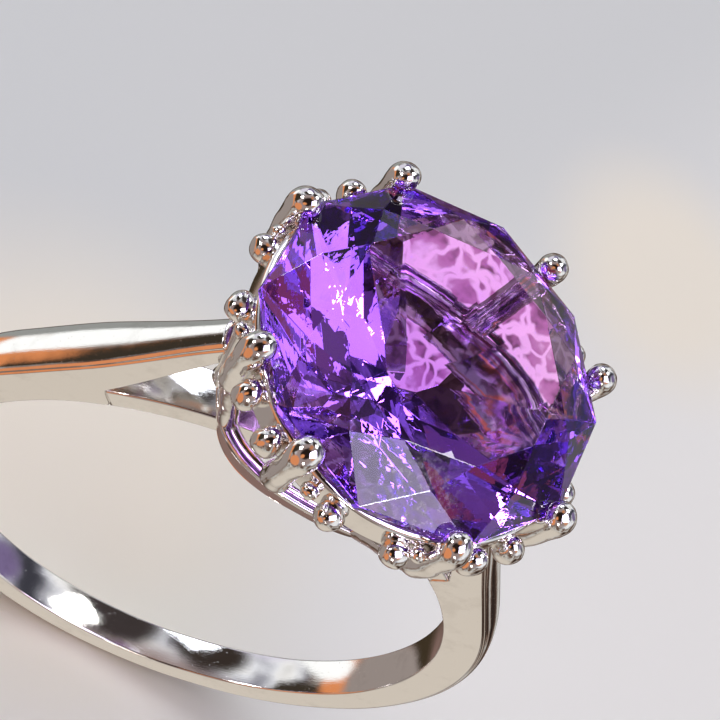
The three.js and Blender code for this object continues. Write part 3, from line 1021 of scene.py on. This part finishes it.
@dataclass
class Band:
    """The domed band with its two cathedral arms, and the bridge under the head."""

    gallery: Gallery
    finger: float = 8.8
    side: float = 1.15
    lift: float = 0.2
    dome: float = 0.32
    back_width: float = 1.35
    shoulder_width: float = 1.65
    shoulder_along: float = 1 / 3
    swell_along: float = 1 / 3
    end_width: float = 1.1
    end_side: float = 0.4
    end_lift: float = 0.32
    nestle: float = 0.5
    bridge_depth: float = 0.7
    bridge_angle: float = radians(38.5)
    bridge_waist: float = 1.3
    bridge_steps: int = 120
    edge: float = 0.07
    rim_steps: int = 4
    rim_turn: float = 60
    rim_sink: float = 0.4
    crest_steps: int = 26
    crest_power: float = 0.86
    seam: float = 0.004
    steps: int = 520
    parallel: float = 1e-9
    slack: float = 1e-6
    touch: Touch = Touch(0.02, 0.35, 13.0)

    def __post_init__(self) -> None:
        """Works out the arm's line: it touches the hoop's outside and ends over the gallery."""
        self.outside = self.finger + self.side
        end_height = self.gallery.top + self.end_lift - self.lift
        end = Vector((self.gallery.long + self.end_side, end_height))
        touch = atan2(end.x, end.y) + acos(self.outside / end.length)
        start = Vector((sin(touch), cos(touch))) * self.outside
        self.direction = (end - start).normalized()
        self.arm = (end - start).length + self.nestle
        self.tangent = touch
        self.arc = self.outside * (pi - touch)
        self.half = self.arc + self.arm
        finish = start + self.direction * self.arm
        lift = Vector((0, self.lift))
        normal = Vector((self.direction.y, -self.direction.x))
        self.under_end = finish + lift - normal * self.end_side
        turn = self.bridge_angle
        self.window = Vector((sin(turn), cos(turn))) * (self.finger + self.bridge_depth)
        self.inner = Vector((sin(turn), cos(turn))) * self.finger

    def _edge(self, run: float) -> tuple[Vector, Vector]:
        """Edge point and outward direction of the band, run millimetres from its back."""
        reach = abs(run)
        side = copysign(1, run)
        angle = pi - min(reach, self.arc) / self.outside
        normal = Vector((side * sin(angle), cos(angle)))
        edge = normal * self.outside + Vector((0, self.lift))
        beyond = max(0.0, reach - self.arc)
        edge.x += side * self.direction.x * beyond
        edge.y += self.direction.y * beyond
        return edge, normal

    def width(self, run: float) -> float:
        """Width of the band: slender at the back, widest at the shoulder, slim at the head."""
        reach = abs(run)
        shoulder = self.arc + self.arm * self.shoulder_along
        swell = ease(reach, self.arc * self.swell_along, shoulder)
        slim = ease(reach, shoulder, self.half)
        return blend(blend(self.back_width, self.shoulder_width, swell), self.end_width, slim)

    def _crossing(
        self, start: Vector, heading: Vector, first: Vector, second: Vector
    ) -> float | None:
        """How far along heading from start the segment from first to second is met, or None."""
        span = second - first
        cross = heading.x * span.y - heading.y * span.x
        if abs(cross) < self.parallel:
            return None
        gap = first - start
        along = (gap.x * span.y - gap.y * span.x) / cross
        share = (gap.x * heading.y - gap.y * heading.x) / cross
        return along if along > 0 and -self.slack <= share <= 1 + self.slack else None

    def _depth(self, run: float) -> float:
        """Depth of the band under its edge: to the finger hole, the seam or the window."""
        edge, normal = self._edge(abs(run))
        inward = -normal
        met = [
            self._crossing(edge, inward, self.window, self.under_end),
            self._crossing(edge, inward, self.inner, self.window),
        ]
        across = edge.dot(inward)
        root = across * across - edge.dot(edge) + self.finger**2
        if root > 0:
            met.append(-across - sqrt(root))
        found = [each for each in met if each is not None and each > 0]
        return min(found) if found else self.end_side

    def _section(self, run: float) -> list[Vector]:
        """One rounded, domed section of the band."""
        edge, normal = self._edge(run)
        half = self.width(run) / 2
        depth = self._depth(run)
        rim = min(self.edge, depth / 3)
        profile = []
        for start, sweep, up in ((-90, 90, rim - depth), (0, self.rim_turn, -rim * self.rim_sink)):
            for k in range(self.rim_steps + 1):
                angle = radians(start + sweep * k / self.rim_steps)
                profile.append((half - rim + rim * cos(angle), up + rim * sin(angle)))
        mirrored = [(-across, up) for across, up in reversed(profile)]
        rim_across, rim_up = profile[-1]
        for k in range(1, self.crest_steps):
            angle = pi * k / self.crest_steps
            crest = (self.dome - rim_up) * sin(angle) ** self.crest_power
            profile.append((rim_across * cos(angle), rim_up + crest))
        return [
            Vector((edge.x + normal.x * up, across, edge.y + normal.y * up))
            for across, up in profile + mirrored
        ]

    def build(self, material: Material) -> None:
        """Builds the band and the bridge."""
        runs = [blend(-self.half, self.half, k / self.steps) for k in range(self.steps + 1)]
        form = Form().loft([self._section(run) for run in runs]).soften(self.touch)
        form.piece("domed_band", material, Slot.SILVER, "shank")
        self._bridge(material)

    def _bridge(self, material: Material) -> None:
        """Builds the arc under the head, slimmer in the middle."""
        half = self.bridge_angle - self.seam / self.finger
        ends = self.width(self.arc + self.outside * (self.tangent - self.bridge_angle))
        rings = []
        for row in range(self.bridge_steps + 1):
            angle = blend(-half, half, row / self.bridge_steps)
            slim = cos(angle / half * pi / 2) ** 2
            wide = blend(ends, self.bridge_waist, slim) / 2
            section = rounded_box(wide, self.finger, self.finger + self.bridge_depth, self.edge)
            sine, cosine = sin(angle), cos(angle)
            rings.append([Vector((up * sine, across, up * cosine)) for across, up in section])
        form = Form().loft(rings).soften(self.touch)
        form.piece("inner_bridge", material, Slot.SILVER, "bridge")


# ---- studio


@dataclass(frozen=True)
class Camera:
    """The viewing angle: from above the head, close, leaning to one side."""

    place: Vector = Vector((-13.1346, -24.4536, 48.6194)) * MM
    right: Vector = Vector((0.83132, 0.27938, 0.48047))
    up: Vector = Vector((-0.48653, 0.78372, 0.38609))
    back: Vector = Vector((-0.26869, -0.55473, 0.78745))
    lens: float = 84.535
    sensor: float = 36.0
    clip_far: float = 20.0

    def build(self) -> None:
        """Places the scene's camera."""
        data = bpy.data.cameras.new("camera")
        data.lens = self.lens
        data.sensor_width = self.sensor
        data.clip_start = 1 * MM
        data.clip_end = self.clip_far
        camera = add_object("camera", data)
        turn = Matrix((self.right, self.up, self.back)).transposed().to_4x4()
        camera.matrix_world = Matrix.Translation(self.place) @ turn
        bpy.context.scene.camera = camera

    def toward(self, right: float, up: float, back: float) -> Vector:
        """A direction given from the camera's own sides."""
        return (self.right * right + self.up * up + self.back * back).normalized()


@dataclass(frozen=True)
class Glow:
    """A soft-edged patch of the surroundings that polished faces mirror."""

    direction: Vector
    colour: Colour
    radius: float
    soft: float = 6.0


class Role(Enum):
    """What a studio light is seen by: the floor and backs, polish, or rays through the stone."""

    LIGHTING = (True, False, False)
    GLEAM = (False, True, True)
    MIRRORED = (False, True, False)
    THROUGH_STONE = (False, False, True)


@dataclass(frozen=True)
class Card:
    """A rectangular studio light."""

    name: str
    direction: Vector
    distance: float
    size: tuple[float, float]
    radiance: float
    colour: Colour = (1.0, 1.0, 1.0)
    role: Role = Role.GLEAM

    def build(self, centre: Vector) -> None:
        """Places the light so that it faces the ring."""
        data = bpy.data.lights.new(self.name, "AREA")
        data.shape = "RECTANGLE"
        data.size, data.size_y = self.size
        data.energy = self.radiance * pi * self.size[0] * self.size[1]
        data.color = self.colour
        lamp = add_object(self.name, data)
        lamp.location = centre + self.direction.normalized() * self.distance
        lamp.rotation_mode = "QUATERNION"
        lamp.rotation_quaternion = self.direction.to_track_quat("Z", "Y")
        lamp.visible_camera = False
        lamp.visible_diffuse, lamp.visible_glossy, lamp.visible_transmission = self.role.value


@dataclass(frozen=True)
class Studio:
    """Floor, soft lights and the surroundings that the metal and the stone mirror."""

    camera: Camera
    stone: Stone
    floor_half: float = 3.0
    clutter_grain: Grain = Grain(2.6, 3, 0.6)
    sky_grain: Grain = Grain(2.1, 2)
    horizon: Span = (0.06, -0.1)
    backdrop: Colour = (0.80, 0.82, 0.85)
    sky: Stops = (
        (0.36, (0.05, 0.05, 0.065)),
        (0.45, (0.28, 0.28, 0.33)),
        (0.51, (0.85, 0.87, 0.94)),
        (0.60, (1.0, 1.0, 1.0)),
        (0.70, (0.22, 0.20, 0.19)),
    )
    clutter: Stops = (
        (0.33, (0.015, 0.01, 0.01)),
        (0.43, (0.09, 0.055, 0.04)),
        (0.48, (0.26, 0.17, 0.13)),
        (0.53, (0.30, 0.28, 0.26)),
        (0.61, (0.66, 0.64, 0.61)),
        (0.70, (0.10, 0.07, 0.06)),
    )

    def build(self) -> None:
        """Builds the whole studio."""
        self._floor()
        self._world()
        for card in self._cards():
            card.build(Vector((0, 0, self.stone.girdle * MM)))

    def _floor(self) -> None:
        """Lays the floor under the hoop."""
        low = CAD_BOX[0][2]
        half = self.floor_half
        mesh = bpy.data.meshes.new("floor")
        corners = [(-half, -half, low), (half, -half, low), (half, half, low), (-half, half, low)]
        mesh.from_pydata(corners, [], [(0, 1, 2, 3)])
        mesh.materials.append(PaleCloth().make())
        floor = add_object("floor", mesh)
        floor.visible_glossy = False
        floor.visible_transmission = False

    def _glows(self) -> list[Glow]:
        """The patches of the surroundings, later ones over earlier ones."""
        view = self.camera.toward
        return [
            Glow(view(0.0, -0.1, 1.0), (0.34, 0.26, 0.25), 48, 20),
            Glow(view(-0.10, -0.05, 1.0), (0.02, 0.012, 0.01), 26, 8),
            Glow(view(-0.42, -0.22, 0.9), (0.80, 0.30, 0.12), 8, 4),
            Glow(view(0.3, 0.45, 0.85), (0.55, 0.22, 0.10), 8, 5),
            Glow(view(0.55, -0.55, 0.65), (0.62, 0.30, 0.16), 10, 6),
            Glow(Vector((-0.59, 0.50, 0.63)), (0.04, 0.03, 0.025), 13, 7),
            Glow(Vector((0.05, 0.52, 0.85)), (0.05, 0.04, 0.04), 15, 8),
            Glow(Vector((-0.28, 0.87, 0.41)), (0.20, 0.16, 0.30), 10, 6),
            Glow(Vector((0.88, 0.30, 0.37)), (0.20, 0.15, 0.30), 10, 6),
            Glow(Vector((0.10, 0.55, -0.83)), (0.05, 0.035, 0.02), 18, 10),
            Glow(Vector((-0.473, 0.772, -0.424)), (0.33, 0.34, 0.33), 12, 12),
            Glow(Vector((-1.00, -0.02, 0.02)), (0.045, 0.035, 0.025), 19, 3),
            Glow(Vector((-0.754, 0.133, -0.643)), (0.80, 0.29, 0.11), 31, 3),
            Glow(Vector((-0.659, 0.116, -0.743)), (0.33, 0.28, 0.26), 27, 4),
            Glow(Vector((-0.596, -0.763, -0.25)), (0.75, 0.28, 0.12), 19, 5),
            Glow(Vector((-0.812, 0.548, -0.20)), (1.15, 1.17, 1.17), 11, 3),
            Glow(Vector((0.22, -0.47, -0.85)), (0.68, 0.61, 0.53), 14, 20),
            Glow(Vector((0.14, 0.23, -0.96)), (0.24, 0.15, 0.13), 10, 8),
            Glow(view(-0.25, 0.93, -0.05), (0.75, 0.72, 0.85), 9, 9),
        ]

    def _world(self) -> None:
        """Paints the surroundings by direction."""
        world = bpy.data.worlds.new("studio")
        bpy.context.scene.world = world
        world.use_nodes = True
        book = NodeBook(world.node_tree)
        heading = book.node("ShaderNodeTexCoord", {}, {}, "Generated")
        height = book.node("ShaderNodeSeparateXYZ", {}, {0: heading}, 2)
        above = book.ramp(book.noise(heading, self.sky_grain), self.sky)
        below = book.ramp(book.noise(heading, self.clutter_grain), self.clutter)
        sky = book.mix(book.smooth(height, self.horizon), above, below)
        for glow in self._glows():
            closeness = book.vector("DOT_PRODUCT", heading, glow.direction, 1)
            start = cos(radians(glow.radius + glow.soft))
            full = cos(radians(glow.radius))
            sky = book.mix(book.smooth(closeness, (start, full)), sky, glow.colour)
        seen = book.node("ShaderNodeLightPath", {}, {}, "Is Camera Ray")
        plain = book.mix(seen, sky, self.backdrop)
        shader = book.node("ShaderNodeBackground", {}, {"Color": plain, "Strength": 1.0})
        book.close("ShaderNodeOutputWorld", {"Surface": shader})

    def _cards(self) -> list[Card]:
        """The studio's lights."""
        view = self.camera.toward
        key = Vector((0.37, -0.46, 0.80))
        base = Vector((0.14, 0.23, -0.96))
        soft = Role.LIGHTING
        inner = Role.THROUGH_STONE
        return [
            Card("overhead", Vector((-0.1, 0.15, 1.0)), 0.5, (0.5, 0.5), 2.0, role=soft),
            Card("key_softbox", key, 0.30, (0.22, 0.19), 6.0, (0.74, 0.68, 1.0), Role.MIRRORED),
            Card("inner_fill", key, 0.31, (0.22, 0.19), 2.3, (0.98, 0.97, 1.0), inner),
            Card("rose_fill", base, 0.3, (0.16, 0.16), 1.15, (1.0, 0.76, 0.86), inner),
            Card("sparkle_lamp", key, 0.32, (0.05, 0.05), 30.0),
            Card("cool_window", view(0.1, 0.96, 0.25), 0.32, (0.11, 0.08), 8.0, (0.86, 0.9, 1.0)),
            Card("right_lamp", view(0.80, 0.42, 0.38), 0.35, (0.10, 0.09), 12.0),
            Card("left_lamp", view(-0.55, 0.5, 0.65), 0.35, (0.055, 0.07), 30.0, (1.0, 0.95, 0.98)),
            Card("low_lamp", view(-0.2, -0.75, 0.6), 0.35, (0.05, 0.03), 22.0, (1.0, 0.93, 0.85)),
        ]


def main() -> None:
    """Builds the ring piece by piece, then its studio."""
    logging.basicConfig(level=logging.INFO, format="%(name)s: %(message)s")
    noise.seed_set(NOISE_SEED)
    bpy.context.scene.view_settings.view_transform = "Standard"
    bpy.context.scene.cycles.glossy_bounces = GLOSSY_BOUNCES
    bpy.context.scene.cycles.max_bounces = ALL_BOUNCES
    camera = Camera()
    camera.build()
    silver = PolishedMetal("polished_silver").make()
    grains = PolishedMetal("granulation", smooth=0.035, worn=0.12, dents=Grain(1.4, 1)).make()
    stone = Stone()
    rail = Rail(stone)
    rail.build(silver)
    gallery = Gallery()
    gallery.build(silver)
    Claws(stone, rail, gallery).build(silver)
    Beads(stone).build(grains)
    Posts(gallery, rail).build(silver)
    Band(gallery).build(silver)
    Studio(camera, stone).build()
    stone.build(CutAmethyst("amethyst", girdle=stone.girdle).make())


if __name__ == "__main__":
    main()
